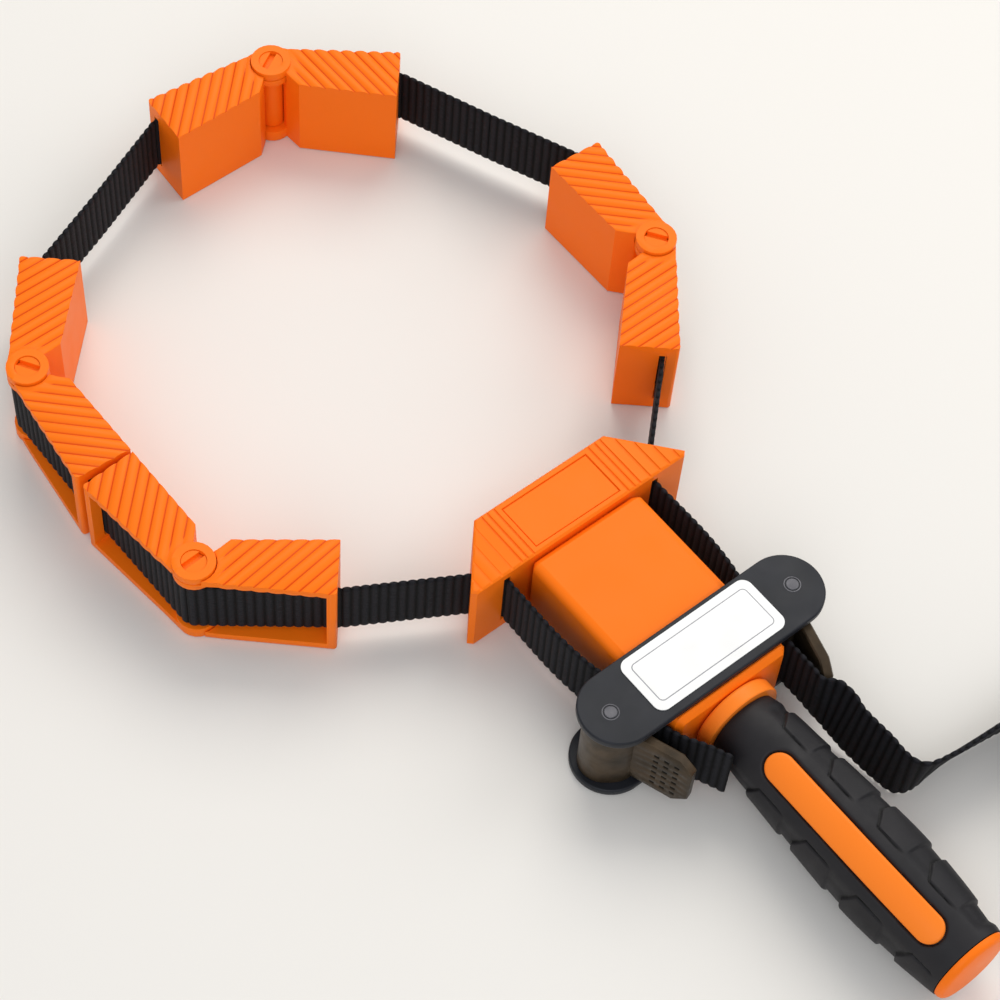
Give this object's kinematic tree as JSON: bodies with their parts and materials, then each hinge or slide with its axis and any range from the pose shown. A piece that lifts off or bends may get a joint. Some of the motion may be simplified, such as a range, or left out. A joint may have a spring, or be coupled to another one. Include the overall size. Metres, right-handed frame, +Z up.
{
  "type": "band clamp",
  "caption": "Corner band clamp: webbing loop with hinged jaws, a T-shaped head, a screw handle that tightens it and toothed cam levers that hold it.",
  "frame": {"origin": "middle of the head's underside", "axes": "+X from the head to the handle along the tool's axis, +Z up from the surface it lies on"},
  "size_m": [0.4626, 0.2831, 0.0372],
  "materials": {
    "orange_plastic": "satin moulded plastic",
    "black_steel": "smooth dark coating",
    "brown_steel": "dark browned steel",
    "plated_steel": "bright zinc plating",
    "black_rubber": "matte soft grip",
    "black_webbing": "ribbed woven webbing",
    "white_label": "plain sticker"
  },
  "bodies": {
    "head": {"head_block": "orange_plastic", "spindle_nut": "plated_steel", "strap_span_front_left": "black_webbing", "strap_span_left": "black_webbing", "strap_span_back": "black_webbing", "strap_span_front_right": "black_webbing"},
    "carriage": {"housing": "orange_plastic", "top_plate": "black_steel", "bottom_plate": "black_steel", "label_plate": "white_label", "left_pin": "brown_steel", "right_pin": "brown_steel", "thrust_washer": "plated_steel", "strap_run_left": "black_webbing", "strap_run_right": "black_webbing", "strap_tail_left": "black_webbing", "strap_tail_right": "black_webbing", "strap_roll": "black_webbing"},
    "handle": {"spindle": "plated_steel", "handle_core": "orange_plastic", "grip_sleeve": "black_rubber", "end_cap": "orange_plastic"},
    "left_lever": {"left_lever": "brown_steel"},
    "right_lever": {"right_lever": "brown_steel"},
    "jaw_right_near_eared": {"jaw_right_near_eared_half": "orange_plastic", "jaw_right_near_pin": "orange_plastic", "jaw_right_near_strap_eared": "black_webbing"},
    "jaw_right_near_barrel": {"jaw_right_near_barrel_half": "orange_plastic", "jaw_right_near_strap_barrel": "black_webbing"},
    "jaw_right_far_eared": {"jaw_right_far_eared_half": "orange_plastic", "jaw_right_far_pin": "orange_plastic", "jaw_right_far_strap_eared": "black_webbing"},
    "jaw_right_far_barrel": {"jaw_right_far_barrel_half": "orange_plastic", "jaw_right_far_strap_barrel": "black_webbing"},
    "jaw_left_far_eared": {"jaw_left_far_eared_half": "orange_plastic", "jaw_left_far_pin": "orange_plastic", "jaw_left_far_strap_eared": "black_webbing"},
    "jaw_left_far_barrel": {"jaw_left_far_barrel_half": "orange_plastic", "jaw_left_far_strap_barrel": "black_webbing"},
    "jaw_left_near_eared": {"jaw_left_near_eared_half": "orange_plastic", "jaw_left_near_pin": "orange_plastic", "jaw_left_near_strap_eared": "black_webbing"},
    "jaw_left_near_barrel": {"jaw_left_near_barrel_half": "orange_plastic", "jaw_left_near_strap_barrel": "black_webbing"}
  },
  "joints": [
    {"name": "tighten_slide", "type": "slide", "parent": "head", "child": "carriage", "axis": [1, 0, 0], "range_m": [0, 0.035], "deforming": ["strap_run_left", "strap_run_right"]},
    {"name": "handle_spin", "type": "hinge", "parent": "carriage", "child": "handle", "pos_m": [0.1, 0, 0.018], "axis": [1, 0, 0], "range_deg": [-4200, 0]},
    {"name": "left_lever_hinge", "type": "hinge", "parent": "carriage", "child": "left_lever", "pos_m": [0.072, -0.039, 0.018], "axis": [0, 0, -1], "range_deg": [0, 75]},
    {"name": "right_lever_hinge", "type": "hinge", "parent": "carriage", "child": "right_lever", "pos_m": [0.072, 0.039, 0.018], "axis": [0, 0, 1], "range_deg": [0, 71]},
    {"name": "jaw_right_near_eared_hinge", "type": "hinge", "parent": "head", "child": "jaw_right_near_eared", "pos_m": [-0.06303, 0.09576, 0.018], "axis": [0, 0, -1], "range_deg": [-27.5, 22.5], "deforming": ["jaw_right_near_strap_eared", "strap_span_front_right", "strap_span_back"]},
    {"name": "jaw_right_near_barrel_hinge", "type": "hinge", "parent": "head", "child": "jaw_right_near_barrel", "pos_m": [-0.06303, 0.09576, 0.018], "axis": [0, 0, 1], "range_deg": [-27.5, 22.5], "deforming": ["jaw_right_near_strap_barrel"]},
    {"name": "jaw_right_far_eared_hinge", "type": "hinge", "parent": "head", "child": "jaw_right_far_eared", "pos_m": [-0.20977, 0.03498, 0.018], "axis": [0, 0, 1], "range_deg": [-27.5, 22.5], "deforming": ["jaw_right_far_strap_eared", "strap_span_back", "strap_span_left"]},
    {"name": "jaw_right_far_barrel_hinge", "type": "hinge", "parent": "head", "child": "jaw_right_far_barrel", "pos_m": [-0.20977, 0.03498, 0.018], "axis": [0, 0, -1], "range_deg": [-27.5, 22.5], "deforming": ["jaw_right_far_strap_barrel"]},
    {"name": "jaw_left_far_eared_hinge", "type": "hinge", "parent": "head", "child": "jaw_left_far_eared", "pos_m": [-0.14899, -0.11176, 0.018], "axis": [0, 0, 1], "range_deg": [-27.5, 22.5], "deforming": ["jaw_left_far_strap_eared", "strap_span_left"]},
    {"name": "jaw_left_far_barrel_hinge", "type": "hinge", "parent": "head", "child": "jaw_left_far_barrel", "pos_m": [-0.14899, -0.11176, 0.018], "axis": [0, 0, -1], "range_deg": [-27.5, 22.5], "deforming": ["jaw_left_far_strap_barrel"]},
    {"name": "jaw_left_near_eared_hinge", "type": "hinge", "parent": "head", "child": "jaw_left_near_eared", "pos_m": [-0.05259, -0.11176, 0.018], "axis": [0, 0, 1], "range_deg": [-23.6, 26.4], "deforming": ["jaw_left_near_strap_eared", "strap_span_front_left"]},
    {"name": "jaw_left_near_barrel_hinge", "type": "hinge", "parent": "head", "child": "jaw_left_near_barrel", "pos_m": [-0.05259, -0.11176, 0.018], "axis": [0, 0, -1], "range_deg": [-23.6, 26.4], "deforming": ["jaw_left_near_strap_barrel"]}
  ],
  "couplings": [
    {"joint": "handle_spin", "follows": "tighten_slide", "rad_per_m": -2094.4},
    {"joint": "jaw_right_near_barrel_hinge", "follows": "jaw_right_near_eared_hinge", "ratio": 1},
    {"joint": "jaw_right_far_barrel_hinge", "follows": "jaw_right_far_eared_hinge", "ratio": 1},
    {"joint": "jaw_left_far_barrel_hinge", "follows": "jaw_left_far_eared_hinge", "ratio": 1},
    {"joint": "jaw_left_near_barrel_hinge", "follows": "jaw_left_near_eared_hinge", "ratio": 1}
  ]
}
